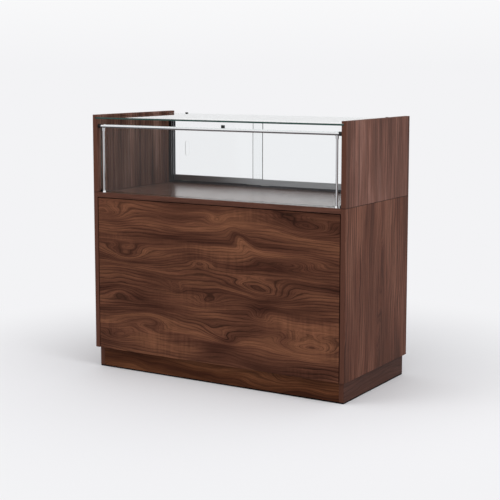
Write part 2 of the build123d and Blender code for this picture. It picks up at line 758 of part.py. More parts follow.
# Sliding doors: the left one runs in the outer slot, the right one in the inner slot.
# Each is a pane in an aluminium bottom rail, which stands on two nylon glides.
rail_low = track_top + door_rail_lift
glass_low = rail_low + door_rail_web
glass_high = guide_bottom + glass_in_guide
glass_end = inner_half - channel_wall - glass_end_gap
rail_end = channel_face - door_rail_end_gap
for side, sign, plane_y in (("left", -1, outer_door_y), ("right", 1, inner_door_y)):
    meeting_edge = meeting_place - sign * meeting_overlap / 2
    glass_x = sorted((meeting_edge, sign * glass_end))
    rail_x = sorted((meeting_edge, sign * rail_end))
    with BuildPart() as glass_door:
        with BuildSketch(Plane.XZ.offset(-(plane_y + door_glass / 2))):
            rect_between(*glass_x, glass_low, glass_high)
        extrude(amount=door_glass)
        chamfer(glass_door.edges(), edge_ease)
        with BuildSketch(Plane.XZ.offset(-(plane_y + door_glass / 2))):
            with Locations((sign * (glass_end - finger_groove_inset), (glass_low + glass_high) / 2)):
                SlotOverall(finger_groove_length, finger_groove_width, rotation=90)
        extrude(amount=finger_groove_depth, mode=Mode.SUBTRACT)
    glass_door.part.label = f"glass_door_{side}"
    export_step(glass_door.part, f"parts/glass_door_{side}.step")

    with BuildPart() as door_rail:
        with BuildSketch(Plane.YZ.offset(rail_x[0])):
            half_rail = door_rail_width / 2
            rect_between(plane_y - half_rail, plane_y + half_rail, rail_low, rail_low + door_rail_height)
            half_gap = door_glass / 2 + rail_glass_fit
            rect_between(
                plane_y - half_gap, plane_y + half_gap, glass_low, rail_low + door_rail_height, Mode.SUBTRACT
            )
        extrude(amount=rail_x[1] - rail_x[0])
    door_rail.part.label = f"door_rail_{side}"
    export_step(door_rail.part, f"parts/door_rail_{side}.step")

    half_glide = glide_width / 2
    with BuildPart() as door_glides:
        with BuildSketch(Plane.XY.offset(deck_height + track_floor + glide_clear)):
            for start in (rail_x[0] + glide_inset, rail_x[1] - glide_inset - glide_length):
                rect_between(start, start + glide_length, plane_y - half_glide, plane_y + half_glide)
        extrude(amount=rail_low - (deck_height + track_floor + glide_clear))
    door_glides.part.label = f"door_glides_{side}"
    export_step(door_glides.part, f"parts/door_glides_{side}.step")

# Black clips that hook over the back edge of the glass top
with BuildPart() as glass_clips:
    plate_front = track_back
    plate_back = plate_front + glass_clip_plate
    hook_bottom = top_glass_face + glass_clip_gap
    hook_top = top_glass_face + glass_clip_rise
    for sign in (-1, 1):
        low = sign * glass_clip_place - glass_clip_width / 2
        with BuildSketch(Plane.YZ.offset(low)):
            rect_between(plate_front, plate_back, guide_bottom, hook_top)
            rect_between(plate_front - glass_clip_hook, plate_back, hook_bottom, hook_top)
        extrude(amount=glass_clip_width)
glass_clips.part.label = "glass_clips"
export_step(glass_clips.part, "parts/glass_clips.step")
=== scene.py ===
import math

import bmesh
import bpy
from mathutils import Matrix, Vector


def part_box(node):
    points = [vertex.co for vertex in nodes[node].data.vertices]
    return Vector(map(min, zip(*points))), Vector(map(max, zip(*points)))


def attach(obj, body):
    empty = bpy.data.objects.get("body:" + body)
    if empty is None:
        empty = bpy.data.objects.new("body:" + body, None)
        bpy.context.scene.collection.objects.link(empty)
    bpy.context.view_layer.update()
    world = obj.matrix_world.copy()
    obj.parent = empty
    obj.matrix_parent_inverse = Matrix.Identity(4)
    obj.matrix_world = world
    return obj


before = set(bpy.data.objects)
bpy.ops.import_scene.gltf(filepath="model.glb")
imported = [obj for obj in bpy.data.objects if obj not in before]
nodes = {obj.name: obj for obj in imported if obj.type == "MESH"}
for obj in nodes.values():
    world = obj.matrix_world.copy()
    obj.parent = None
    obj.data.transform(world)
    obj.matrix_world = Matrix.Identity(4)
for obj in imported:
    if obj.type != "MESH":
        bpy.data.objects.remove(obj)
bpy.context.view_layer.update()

# Looks for the glass display counter. Metres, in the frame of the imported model:
# X to the right, Y from the customer to the staff side, Z up, origin on the floor.

# Camera, standing to the right of the counter and looking slightly down
camera_place = (2.307, -3.776, 1.126)
camera_azimuth = 31.47
camera_pitch = 6.89
camera_lens = 86.9
camera_sensor = 36.0
camera_shift = -0.075

# Studio
backdrop_grey = (243, 243, 245)
backdrop_high_grey = (249, 249, 250)
front_of_studio_grey = (238, 238, 240)
# Painted reflection: the floor in front of the counter, as seen only by glossy rays, shows these greys,
# dark near the counter and lighter further off.
painted_reflection_near_grey = (60, 60, 62)
painted_reflection_far_grey = (185, 185, 188)
floor_grey = (238, 238, 241)
floor_half = 30.0
floor_fade_start = 0.45
floor_fade_end = 1.6
mirror_begin_y = -0.27
mirror_full_y = -0.5
mirror_near_y = -2.2
mirror_far_y = -3.2
horizon_blend = 0.06
side_blend = 0.3
sky_strength = 0.5

# Lamps: name, place, target, size, watts
lamp_rows = [
    ("key", (2.6, -0.6, 2.3), (0.3, 0.0, 0.6), (1.8, 1.6), 36.0),
    ("fill", (-2.6, -3.2, 2.4), (0.0, -0.2, 0.6), (2.4, 1.8), 50.0),
    ("top", (0.0, -0.6, 3.4), (0.0, 0.0, 0.0), (3.0, 3.0), 30.0),
]

# Walnut, as display values from 0 to 255
walnut_dark = (66, 37, 27)
walnut_mid = (94, 58, 43)
walnut_light = (122, 79, 57)
straight_dark = (72, 43, 32)
straight_mid = (93, 56, 43)
straight_light = (115, 76, 61)
# The display case boards: a lighter copy of the base boards' walnut, partly their own tone and partly
# painted light for the top of the counter being lit more than the base.
case_dark = (84, 55, 46)
case_mid = (107, 72, 61)
case_light = (134, 98, 87)
plinth_dark = (64, 33, 19)
plinth_mid = (89, 52, 32)
plinth_light = (112, 70, 46)
edge_tone = (91, 58, 47)
deck_band_tone = (93, 60, 49)
# Painted shade: the front panel's edges darkened to the shade in the narrow gaps round it, over the
# edging's own tone.
painted_gap_shade = (58, 32, 23)
plinth_end_tone = (84, 53, 42)
plinth_side_tone = (72, 46, 38)
joint_half = 0.0008
board_edge_facing = 0.6


def shown(rgb):
    """A display colour from 0 to 255 as the linear colour that shaders take."""
    linear = []
    for value in rgb:
        v = value / 255
        linear.append(v / 12.92 if v <= 0.04045 else ((v + 0.055) / 1.055) ** 2.4)
    return (*linear, 1.0)


class Graph:
    """Short names for the shader nodes that the materials are built from."""

    def __init__(self, tree):
        self.tree = tree
        tree.nodes.clear()

    def add(self, kind, **settings):
        node = self.tree.nodes.new("ShaderNode" + kind)
        for name, value in settings.items():
            setattr(node, name, value)
        return node

    def put(self, socket, value):
        """Links value to the socket, or writes it there if it is a constant."""
        if isinstance(value, bpy.types.NodeSocket):
            self.tree.links.new(value, socket)
        else:
            socket.default_value = value

    def math(self, operation, *values):
        node = self.add("Math", operation=operation)
        for socket, value in zip(node.inputs, values):
            self.put(socket, value)
        return node.outputs[0]

    def vector(self, operation, *values):
        node = self.add("VectorMath", operation=operation)
        for socket, value in zip(node.inputs, values):
            self.put(socket, value)
        return node.outputs["Value"] if operation == "LENGTH" else node.outputs[0]

    def split(self, vector):
        node = self.add("SeparateXYZ")
        self.put(node.inputs[0], vector)
        return dict(zip("XYZ", node.outputs))

    def join(self, x, y, z):
        node = self.add("CombineXYZ")
        for socket, value in zip(node.inputs, (x, y, z)):
            self.put(socket, value)
        return node.outputs[0]

    def noise(self, vector, stretch, detail=2.0, roughness=0.5, distortion=0.0):
        """Noise from 0 to 1 with stretch cycles a metre along each axis of the vector."""
        node = self.add("TexNoise")
        self.put(node.inputs["Vector"], self.vector("MULTIPLY", vector, stretch))
        node.inputs["Scale"].default_value = 1.0
        node.inputs["Detail"].default_value = detail
        node.inputs["Roughness"].default_value = roughness
        node.inputs["Distortion"].default_value = distortion
        return node.outputs[0]

    def spot(self, vector, place, size, tilt=0.0):
        """A soft spot: 1 at its place, 0 at the rim of an oval of these half sizes, turned by tilt."""
        mapping = self.add("Mapping", vector_type="TEXTURE")
        self.put(mapping.inputs["Vector"], vector)
        mapping.inputs["Location"].default_value = (*place, 0.0)
        mapping.inputs["Rotation"].default_value = (0.0, 0.0, math.radians(tilt))
        mapping.inputs["Scale"].default_value = (*size, 1.0)
        gradient = self.add("TexGradient", gradient_type="QUADRATIC_SPHERE")
        self.put(gradient.inputs[0], mapping.outputs[0])
        return gradient.outputs["Fac"]

    def ramp(self, factor, stops, interpolation="LINEAR"):
        node = self.add("ValToRGB")
        self.put(node.inputs[0], factor)
        ramp = node.color_ramp
        ramp.interpolation = interpolation
        while len(ramp.elements) < len(stops):
            ramp.elements.new(1.0)
        for element, (place, colour) in zip(ramp.elements, stops):
            element.position = place
            element.color = colour
        return node.outputs["Color"]

    def mix(self, factor, a, b, blend="MIX"):
        node = self.add("Mix", data_type="RGBA", blend_type=blend, clamp_factor=True)
        self.put(node.inputs["Factor"], factor)
        colours = [s for s in node.inputs if s.type == "RGBA"]
        self.put(colours[0], a)
        self.put(colours[1], b)
        return next(s for s in node.outputs if s.type == "RGBA")

    def spread(self, value, low, high, to_low, to_high, smooth=False):
        """Maps value from one range to another, clamped."""
        node = self.add("MapRange", interpolation_type="SMOOTHSTEP" if smooth else "LINEAR")
        for socket, v in zip(node.inputs, (value, low, high, to_low, to_high)):
            self.put(socket, v)
        return node.outputs[0]

    def bump(self, height, strength, distance):
        node = self.add("Bump")
        self.put(node.inputs["Height"], height)
        node.inputs["Strength"].default_value = strength
        node.inputs["Distance"].default_value = distance
        return node.outputs[0]

    def principled(self, colour, roughness, metallic=0.0, shine=0.5, normal=None, **sockets):
        node = self.add("BsdfPrincipled")
        self.put(node.inputs["Base Color"], colour)
        self.put(node.inputs["Roughness"], roughness)
        node.inputs["Metallic"].default_value = metallic
        node.inputs["Specular IOR Level"].default_value = shine
        if normal is not None:
            self.put(node.inputs["Normal"], normal)
        for name, value in sockets.items():
            node.inputs[name.replace("_", " ")].default_value = value
        return node.outputs[0]

    def blend(self, factor, a, b):
        node = self.add("MixShader")
        for socket, value in zip(node.inputs, (factor, a, b)):
            self.put(socket, value)
        return node.outputs[0]

    def rays(self, *names):
        """1 for rays of any of these kinds, and 0 for the others."""
        path = self.add("LightPath")
        total = path.outputs[names[0]]
        for name in names[1:]:
            total = self.math("MAXIMUM", total, path.outputs[name])
        return total

    def output(self, surface):
        self.put(self.add("OutputMaterial").inputs["Surface"], surface)


def material(name):
    made = bpy.data.materials.new(name)
    made.use_nodes = True
    return made, Graph(made.node_tree)


def grey(value):
    return (value, value, value, 1.0)


# Wood

ring_line = [
    (0.00, grey(0.40)), (0.07, grey(0.50)), (0.18, grey(0.95)), (0.52, grey(1.14)),
    (0.84, grey(1.06)), (0.94, grey(0.70)), (1.00, grey(0.40)),
]


def board_space(g, along, across, seed):
    """The board's own coordinates: along the grain, across it, through the board. The second vector is
    moved far off by the seed, so that no two boards carry the same noise. The mask is 1 on the edges."""
    coordinates = g.add("TexCoord")
    place = g.split(coordinates.outputs["Object"])
    through = (set("XYZ") - {along, across}).pop()
    board = g.join(place[along], place[across], place[through])
    seeded = g.vector("ADD", board, (3.1 * seed, 1.7 * seed, 0.9 * seed))
    facing = g.split(coordinates.outputs["Normal"])[through]
    edge = g.math("LESS_THAN", g.math("ABSOLUTE", facing), board_edge_facing)
    return board, seeded, edge


def growth_rings(g, board, seeded, ring_gap, wave, swells):
    """A height over the board that rises by one from growth ring to growth ring. Each swell is
    (place along, place across, half length, half height, tilt, rings) and gives an eye or an arch."""
    drift = g.noise(seeded, (2.3, 7.0, 1.0), detail=2.0)
    shiver = g.noise(seeded, (11.0, 38.0, 4.0), detail=3.0)
    across = g.split(board)["Y"]
    height = g.math("MULTIPLY", across, 1 / ring_gap)
    height = g.math("MULTIPLY_ADD", drift, wave, height)
    height = g.math("MULTIPLY_ADD", shiver, 0.9, height)
    if swells:
        wander = g.add("TexNoise")
        g.put(wander.inputs["Vector"], g.vector("MULTIPLY", seeded, (5.0, 12.0, 1.0)))
        wander.inputs["Scale"].default_value = 1.0
        offset = g.vector("SUBTRACT", wander.outputs["Color"], (0.5, 0.5, 0.5))
        bent = g.vector("MULTIPLY_ADD", offset, (0.09, 0.045, 0.0), board)
        for x, y, length, tall, tilt, rings in swells:
            spot = g.spot(bent, (x, y), (length, tall), tilt)
            height = g.math("MULTIPLY_ADD", spot, rings, height)
    return height


def cloudiness(g, board, seeded, rings, clouds):
    """Tone from 0 to 1 that changes slowly along the grain and from ring to ring, so that darker and
    lighter bands follow the figure, with darker and lighter clouds placed as listed."""
    along = g.split(seeded)["X"]
    follow = g.noise(g.join(along, rings, 0.0), (1.6, 0.27, 1.0), detail=3.0, roughness=0.6)
    drift = g.noise(seeded, (2.4, 9.0, 1.0), detail=3.0, roughness=0.5)
    tone = g.math("ADD", g.math("MULTIPLY", follow, 0.65), g.math("MULTIPLY", drift, 0.35))
    # On the display sides some of these clouds are painted shade and painted light.
    for x, y, length, tall, tilt, change in clouds:
        spot = g.spot(board, (x, y), (length, tall), tilt)
        tone = g.math("MULTIPLY_ADD", spot, change, tone)
    return tone


def walnut(name, along, across, tones, seed, ring_gap=0.014, wave=8.0, contrast=0.8,
           swells=(), clouds=(), streaks=0.3, bars=0.0, edge=edge_tone, roughness=0.5, shine=0.06,
           sheen_bands=0.0, seam=None):
    """Oiled walnut with its rings, streaks, fibres and pores, an edging band, and a seam across the grain
    where one is given. Bars are the pale figure across the grain, sheen_bands the uneven polish."""
    made, g = material(name)
    board, seeded, on_edge = board_space(g, along, across, seed)
    rings = growth_rings(g, board, seeded, ring_gap, wave, swells)
    lines = g.ramp(g.math("FRACT", rings), ring_line)
    fine = g.ramp(g.math("FRACT", g.math("MULTIPLY", rings, 3.3)), ring_line)
    patch = g.noise(seeded, (2.6, 8.0, 1.0), detail=1.0)
    strength = g.spread(patch, 0.38, 0.62, 0.35 * contrast, contrast)
    flowing = g.noise(g.join(g.split(seeded)["X"], rings, 0.0), (7.0, 2.4, 1.0), detail=4.0, roughness=0.65)
    fibre = g.noise(seeded, (7.0, 330.0, 90.0), detail=4.0, roughness=0.62)
    pores = g.spread(g.noise(seeded, (38.0, 1100.0, 300.0), detail=1.0), 0.60, 0.72, 0.0, 1.0)

    dark, middle, light = (shown(tone) for tone in tones)
    tone = cloudiness(g, board, seeded, rings, clouds)
    colour = g.ramp(tone, [(0.37, dark), (0.50, middle), (0.63, light)])
    colour = g.mix(strength, colour, g.mix(1.0, colour, lines, "MULTIPLY"))
    colour = g.mix(0.5, colour, g.mix(1.0, colour, fine, "MULTIPLY"))
    colour = g.mix(1.0, colour, g.ramp(flowing, [(0.28, grey(0.78)), (0.72, grey(1.20))]), "MULTIPLY")
    colour = g.mix(1.0, colour, g.ramp(fibre, [(0.25, grey(0.84)), (0.75, grey(1.16))]), "MULTIPLY")
    colour = g.mix(pores, colour, g.mix(1.0, colour, grey(0.72), "MULTIPLY"))
    streak = g.noise(seeded, (1.1, 62.0, 12.0), detail=4.0, roughness=0.6)
    stripes = g.ramp(streak, [(0.34, grey(1 - 0.32 * streaks)), (0.66, grey(1 + 0.32 * streaks))])
    colour = g.mix(1.0, colour, stripes, "MULTIPLY")
    if bars:
        figured = g.spread(g.noise(seeded, (3.2, 9.0, 1.0), detail=1.0), 0.50, 0.62, 0.0, 1.0)
        crossing = g.noise(seeded, (95.0, 9.0, 9.0), detail=2.0)
        crossing = g.ramp(crossing, [(0.34, grey(1 - bars)), (0.66, grey(1 + bars))])
        colour = g.mix(figured, colour, g.mix(1.0, colour, crossing, "MULTIPLY"))

    band_fibre = g.noise(seeded, (9.0, 9.0, 900.0), detail=3.0)
    band = g.mix(1.0, shown(edge), g.ramp(band_fibre, [(0.2, grey(0.84)), (0.8, grey(1.16))]), "MULTIPLY")
    colour = g.mix(on_edge, colour, band)
    if seam is not None:
        off_seam = g.math("ABSOLUTE", g.math("SUBTRACT", g.split(board)["X"], seam))
        groove = g.spread(off_seam, joint_half, 2 * joint_half, 1.0, 0.0)
        colour = g.mix(groove, colour, g.mix(1.0, colour, grey(0.35), "MULTIPLY"))

    height = g.math("MULTIPLY_ADD", pores, -0.6, fibre)
    rough = g.spread(fibre, 0.2, 0.8, roughness + 0.07, roughness - 0.07)
    if sheen_bands:
        rough = g.math("ADD", rough, g.spread(streak, 0.35, 0.65, 0.0, sheen_bands))
    surface = g.principled(colour, rough, shine=shine, normal=g.bump(height, 0.25, 0.0002))
    g.output(surface)
    return made


def bare_wood(name, tone, along, across, seed):
    """Pale unfinished beech or pine for the pieces behind the boards."""
    made, g = material(name)
    board, seeded, on_edge = board_space(g, along, across, seed)
    fibre = g.noise(seeded, (12.0, 420.0, 420.0), detail=3.0)
    bands = g.noise(seeded, (3.0, 60.0, 60.0), detail=2.0)
    colour = g.mix(1.0, shown(tone), g.ramp(fibre, [(0.2, grey(0.86)), (0.8, grey(1.12))]), "MULTIPLY")
    colour = g.mix(1.0, colour, g.ramp(bands, [(0.3, grey(0.88)), (0.7, grey(1.08))]), "MULTIPLY")
    colour = g.mix(on_edge, colour, g.mix(1.0, colour, grey(0.86), "MULTIPLY"))
    g.output(g.principled(colour, 0.7, shine=0.3, normal=g.bump(fibre, 0.3, 0.0002)))
    return made


# Glass, metal and plastic

glass_rim = 0.0015
glass_edge_facing = 0.8
top_bend = 1.5
pane_bend = 1.33


def glass(name, node, through, tint, shade, edge_dark, edge_light, bend):
    """Clear glass that lets lamp light pass, dimmed by shade. The ground edges round the node's outline
    show green, and a finger groove ground into its face stays clear."""
    made, g = material(name)
    coordinates = g.add("TexCoord")
    facing = g.split(coordinates.outputs["Normal"])[through]
    place = g.split(coordinates.outputs["Object"])
    low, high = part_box(node)
    rim = 0.0
    for axis in sorted(set("XYZ") - {through}):
        start, end = getattr(low, axis.lower()), getattr(high, axis.lower())
        from_middle = g.math("ABSOLUTE", g.math("SUBTRACT", place[axis], (start + end) / 2))
        outer = g.math("GREATER_THAN", from_middle, (end - start) / 2 - glass_rim)
        rim = g.math("MAXIMUM", rim, outer)
    on_edge = g.math("MULTIPLY", rim, g.math("LESS_THAN", g.math("ABSOLUTE", facing), glass_edge_facing))
    clear = g.principled(shown(tint), 0.0, IOR=bend, Transmission_Weight=1.0)
    grind = g.noise(coordinates.outputs["Object"], (60.0, 60.0, 60.0), detail=2.0)
    green = g.mix(grind, shown(edge_dark), shown(edge_light))
    ground = g.principled(green, 0.22, shine=0.5, IOR=1.5, Transmission_Weight=0.1)
    lit = g.blend(on_edge, clear, ground)
    passing = g.add("BsdfTransparent")
    passing.inputs["Color"].default_value = shown(shade)
    bounced = g.blend(g.rays("Is Diffuse Ray"), lit, passing.outputs[0])
    g.output(g.blend(g.rays("Is Shadow Ray"), bounced, passing.outputs[0]))
    return made


def metal(name, tone, roughness, along, spread=0.06, bump=0.04):
    """Metal with fine brush marks that run along one axis."""
    made, g = material(name)
    coordinates = g.add("TexCoord")
    stretch = tuple(25.0 if axis == along else 1400.0 for axis in "XYZ")
    marks = g.noise(coordinates.outputs["Object"], stretch, detail=3.0)
    smudge = g.noise(coordinates.outputs["Object"], (14.0, 14.0, 14.0), detail=3.0)
    colour = g.mix(1.0, shown(tone), g.ramp(marks, [(0.2, grey(0.93)), (0.8, grey(1.05))]), "MULTIPLY")
    rough = g.math("MULTIPLY_ADD", g.math("ADD", marks, smudge), spread, roughness - spread)
    g.output(g.principled(colour, rough, metallic=1.0, normal=g.bump(marks, bump, 0.0001)))
    return made


def plastic(name, tone, roughness, grain=900.0, shine=0.4):
    """Moulded plastic with a fine grain."""
    made, g = material(name)
    coordinates = g.add("TexCoord")
    grit = g.noise(coordinates.outputs["Object"], (grain, grain, grain), detail=2.0)
    cast = g.noise(coordinates.outputs["Object"], (22.0, 22.0, 22.0), detail=2.0)
    colour = g.mix(1.0, shown(tone), g.ramp(cast, [(0.2, grey(0.90)), (0.8, grey(1.10))]), "MULTIPLY")
    rough = g.spread(grit, 0.2, 0.8, roughness - 0.08, roughness + 0.08)
    g.output(g.principled(colour, rough, shine=shine, normal=g.bump(grit, 0.15, 0.0001)))
    return made


# Eyes and arches of a board: place along and across, half length, half height, tilt, rings
front_swells = [
    (-0.490, 0.590, 0.240, 0.060, -4, 9.0),
    (-0.360, 0.440, 0.230, 0.060, -3, 10.0),
    (-0.060, 0.440, 0.100, 0.035, 6, -5.0),
    (0.020, 0.592, 0.080, 0.038, -8, 5.5),
    (0.130, 0.520, 0.140, 0.045, -38, -6.0),
    (0.370, 0.590, 0.230, 0.055, -8, 8.5),
    (0.330, 0.470, 0.260, 0.045, 3, -6.0),
    (0.210, 0.355, 0.220, 0.060, -6, 10.5),
    (-0.010, 0.300, 0.120, 0.035, 10, 5.0),
    (0.200, 0.275, 0.060, 0.055, -25, 7.0),
    (-0.400, 0.300, 0.160, 0.045, 8, -6.0),
    (-0.170, 0.335, 0.070, 0.030, -20, 4.5),
    (-0.290, 0.215, 0.300, 0.085, -5, -9.0),
    (0.060, 0.180, 0.150, 0.050, -16, 6.5),
    (0.410, 0.185, 0.230, 0.065, 2, 12.0),
    (-0.420, 0.120, 0.160, 0.050, 6, 6.0),
]
# Darker and lighter clouds of a board: place along and across, half length, half height, tilt, change
front_clouds = [
    (-0.420, 0.560, 0.180, 0.050, -10, -0.12),
    (-0.250, 0.450, 0.200, 0.030, 0, 0.16),
    (0.250, 0.440, 0.240, 0.060, 0, -0.16),
    (0.200, 0.300, 0.130, 0.050, 10, -0.26),
    (-0.330, 0.280, 0.300, 0.050, 0, -0.18),
    (-0.270, 0.140, 0.170, 0.045, 0, 0.26),
    (0.000, 0.250, 0.150, 0.040, 0, 0.22),
    (0.000, 0.130, 0.120, 0.040, 0, -0.18),
    (0.060, 0.160, 0.110, 0.045, 0, -0.20),
    (0.050, 0.590, 0.300, 0.040, 0, 0.16),
    (0.420, 0.360, 0.140, 0.060, 0, 0.12),
    (-0.130, 0.530, 0.300, 0.040, -5, -0.14),
]
side_swells = [
    (0.420, -0.010, 0.260, 0.060, 0, 8.0),
    (0.230, -0.020, 0.220, 0.050, 0, 7.0),
]
side_clouds = [
    (0.45, 0.00, 0.450, 0.080, 0, -0.14),
    (0.25, 0.14, 0.500, 0.200, 0, -0.05),
    (0.40, -0.21, 0.700, 0.140, 0, 0.16),
]
# Painted light and shade on the right display side: lighter towards the front and darker towards the back,
# following how the light falls on it.
painted_case_light_and_shade = [
    (0.80, -0.20, 0.500, 0.200, 0, 0.30),
    (0.80, 0.12, 0.600, 0.350, 0, -0.10),
]
burl_tones = (walnut_dark, walnut_mid, walnut_light)
straight_tones = (straight_dark, straight_mid, straight_light)
case_tones = (case_dark, case_mid, case_light)
plinth_tones = (plinth_dark, plinth_mid, plinth_light)


def toned(tone, spread=0.14):
    """Dark, middle and light tones around one tone."""
    return tuple(tuple(value * level for value in tone) for level in (1 - spread, 1.0, 1 + spread))


plinth_side_tones = toned(plinth_side_tone, 0.10)

case_low, case_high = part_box("display_side_left")
case_bottom = case_low.z
# Painted shade: a darker cloud at the back of the left display side, low down by the deck, where shade
# falls inside the case.
painted_corner_shade = [(case_bottom, case_high.y, 0.26, 0.36, 0, -0.30)]

looks = {
    # The front panel's edges carry painted shade from the gaps round it.
    "front_panel": walnut("walnut_front", "X", "Z", burl_tones, 1, ring_gap=0.0115, contrast=1.0,
                          swells=front_swells, clouds=front_clouds, streaks=0.45, bars=0.13,
                          edge=painted_gap_shade),
    "plinth_front": walnut("walnut_plinth", "X", "Z", plinth_tones, 2, wave=14.0, edge=plinth_dark),
    "plinth_back": walnut("walnut_plinth_back", "X", "Z", plinth_tones, 3, edge=plinth_dark),
    "plinth_side_left": walnut("walnut_plinth_left", "Y", "Z", plinth_side_tones, 4, wave=6.0,
                               contrast=0.5, edge=plinth_end_tone),
    "plinth_side_right": walnut("walnut_plinth_right", "Y", "Z", plinth_side_tones, 5, wave=6.0,
                                contrast=0.5, edge=plinth_end_tone),
    "base_side_left": walnut("walnut_base_left", "Z", "Y", straight_tones, 6, ring_gap=0.018, wave=4.0,
                             swells=side_swells, clouds=side_clouds, contrast=1.0, streaks=0.5,
                             seam=case_bottom),
    "base_side_right": walnut("walnut_base_right", "Z", "Y", straight_tones, 7, ring_gap=0.018, wave=4.0,
                              swells=side_swells, clouds=side_clouds, contrast=1.0, streaks=0.5,
                              seam=case_bottom),
    # The display sides carry painted shade and painted light through their clouds.
    "display_side_left": walnut("walnut_case_left", "Z", "Y", case_tones, 8, ring_gap=0.016, wave=2.5,
                                clouds=painted_corner_shade, streaks=1.2, seam=case_bottom),
    "display_side_right": walnut("walnut_case_right", "Z", "Y", case_tones, 9, ring_gap=0.016, wave=2.5,
                                 clouds=painted_case_light_and_shade, streaks=1.1, seam=case_bottom),
    "deck": walnut("walnut_deck", "X", "Y", case_tones, 10, wave=5.0, streaks=1.0, roughness=0.18,
                   shine=0.8, sheen_bands=0.07),
    "base_floor": walnut("walnut_floor", "X", "Y", straight_tones, 11, wave=5.0, contrast=0.5),
    "base_shelf": walnut("walnut_shelf", "X", "Y", straight_tones, 12, wave=5.0, contrast=0.5),
    "stop_rail": walnut("walnut_rail", "X", "Z", straight_tones, 13, wave=3.0, contrast=0.5),
    "base_door_left": walnut("walnut_door_left", "Z", "X", straight_tones, 14, ring_gap=0.016, wave=6.0,
                             contrast=0.5),
    "base_door_right": walnut("walnut_door_right", "Z", "X", straight_tones, 15, ring_gap=0.016, wave=6.0,
                              contrast=0.5),
}

deck_edging = walnut("walnut_deck_band", "X", "Z", toned(deck_band_tone), 16, contrast=0.3, streaks=0.4)
beech = bare_wood("beech", (196, 160, 118), "X", "Y", 21)
pine = bare_wood("pine", (206, 176, 134), "Z", "X", 22)
edge_tones = ((16, 42, 37), (46, 82, 74))
door_edge_tones = ((5, 18, 16), (15, 38, 34))
pane_shade = (228, 234, 232)
top_glass = glass("glass_top", "glass_top", "Z", (247, 254, 253), pane_shade, *edge_tones, top_bend)
pane_glass = glass("glass_pane", "front_pane", "Y", (254, 255, 255), pane_shade, *edge_tones, pane_bend)
polished_x = metal("steel_rail", (250, 250, 250), 0.07, "X", spread=0.02, bump=0.01)
polished_z = metal("steel_post", (248, 248, 248), 0.08, "Z", spread=0.02, bump=0.01)
satin = metal("aluminium_rail", (176, 178, 180), 0.32, "X")
dark_satin = metal("channel_dark", (84, 84, 86), 0.38, "Z")
track_satin = metal("track_dark", (70, 70, 72), 0.38, "X")
plated = metal("plated_steel", (190, 190, 186), 0.26, "Z")
handle_steel = metal("steel_handle", (190, 190, 190), 0.28, "Z")
zinc = metal("zinc", (176, 178, 182), 0.4, "Z", spread=0.12)
# Painted shade: the cross recesses of the screw heads are too shallow to hold shade, so their faces take
# this dark finish.
painted_recess_shade = metal("screw_recess", (60, 60, 60), 0.5, "Z")
black = plastic("black_plastic", (26, 26, 26), 0.42)
# Painted shadow: near-black for the strip in the gap under the plinth.
shadow_strip_black = plastic("plinth_shadow_strip_black", (9, 8, 8), 0.8, shine=0.1)
# Painted shade: near-black for the flat discs that stand in for the pin holes.
painted_hole_shade = plastic("pin_hole", (24, 16, 12), 0.8, shine=0.1)
rubber = plastic("foot_plastic", (34, 34, 34), 0.6)
white = plastic("white_plastic", (225, 227, 230), 0.35)
nylon = plastic("nylon", (224, 220, 206), 0.5)
magnet_case = plastic("magnet_case", (222, 220, 214), 0.45)

looks |= {
    "dowels": beech,
    "panel_blocks": beech,
    "plinth_corner_blocks": pine,
    "glass_top": top_glass,
    "front_pane": pane_glass,
    "guard_rail": polished_x,
    "door_rail_left": satin,
    "door_rail_right": satin,
    "track_bottom": track_satin,
    "track_top": white,
    "card_clip": black,
    "glass_clips": black,
    "foot_pads": rubber,
    "foot_stems": zinc,
    "shelf_pins": zinc,
    "catch_magnets": magnet_case,
    "hinge_frame_leaves": plated,
    "hinge_pins": plated,
    "lock_barrel": plated,
    "lock_plug": plated,
    "lock_cam": zinc,
}
for side in ("left", "right"):
    looks |= {
        f"rail_tee_{side}": polished_x,
        f"rail_post_{side}": polished_z,
        f"post_foot_{side}": polished_z,
        f"rail_cup_{side}": black,
        f"pane_clip_{side}": black,
        f"side_channel_{side}": dark_satin,
        f"door_glides_{side}": nylon,
        f"glass_door_{side}": glass(f"glass_door_{side}", f"glass_door_{side}", "Y", (254, 255, 255),
                                    pane_shade, *door_edge_tones, pane_bend),
        f"hinge_door_leaves_{side}": plated,
        f"door_handle_{side}": handle_steel,
        f"strike_plate_{side}": zinc,
    }


def dress():
    for name, finish in looks.items():
        for slot in nodes[name].material_slots:
            slot.link = "OBJECT"
            slot.material = finish


# Small pieces that the solids leave out

screw_steps = 32
screw_profile = [(1.0, 0.0), (0.97, 0.4), (0.82, 0.82), (0.62, 1.0)]
recess_arm = 0.55
recess_waist = 0.22
recess_floor_share = 0.7
recess_floor_level = 0.2
# Sizes of the near-black strip under the plinth, a painted shadow in the gap there.
shadow_strip_inset = 0.0006
shadow_strip_width = 0.003
shadow_strip_lip = 0.002
band_thickness = 0.0004
band_ease = 0.0003
shadow_strip_clear = 0.0004
hinge_leaf = 0.0012
hinge_height = 0.060
hinge_screw_radius = 0.0034
hinge_screw_height = 0.00022
hinge_screw_rows = ((-0.021, -0.0145), (0.0, -0.0080), (0.021, -0.0145))
hinge_screw_turn = 0.5
hinge_screw_turn_step = 1.3
hinge_screw_turn_rise = 40
handle_screw_radius = 0.0045
handle_screw_height = 0.0022
handle_screw_turn_rise = 9
pin_hole_radius = 0.0026
pin_hole_sides = 20
pin_hole_proud = 0.0001
pin_hole_step = 0.032
pin_hole_count = 5


